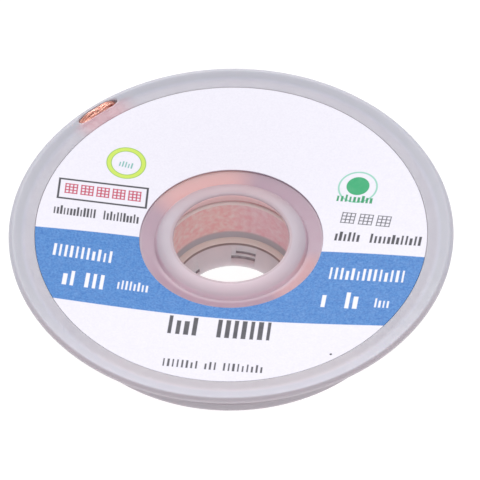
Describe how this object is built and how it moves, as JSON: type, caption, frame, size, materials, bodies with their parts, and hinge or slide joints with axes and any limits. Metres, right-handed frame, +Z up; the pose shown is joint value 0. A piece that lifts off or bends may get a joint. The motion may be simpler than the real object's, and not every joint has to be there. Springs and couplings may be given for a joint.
{
  "type": "desoldering braid",
  "caption": "Flat copper desoldering braid coiled on a moulded bobbin with two dished flanges, an open hub and a ring label; the braid's end shows through a slot in the rim.",
  "frame": {"origin": "centre of the hub's foot ring, at the bottom of the part", "axes": "+Z up along the hub's bore, towards the labelled flange; +X to the right as the label reads; -Y towards the viewer"},
  "size_m": [0.044, 0.044, 0.0117],
  "materials": {
    "frosted_plastic": "frosted, slightly translucent",
    "copper_braid": "bright bare copper strands",
    "label_paper": "coated, satin"
  },
  "bodies": {
    "root": {"upper_flange": "frosted_plastic", "lower_flange": "frosted_plastic", "braid": "copper_braid", "label": "label_paper"}
  },
  "joints": []
}
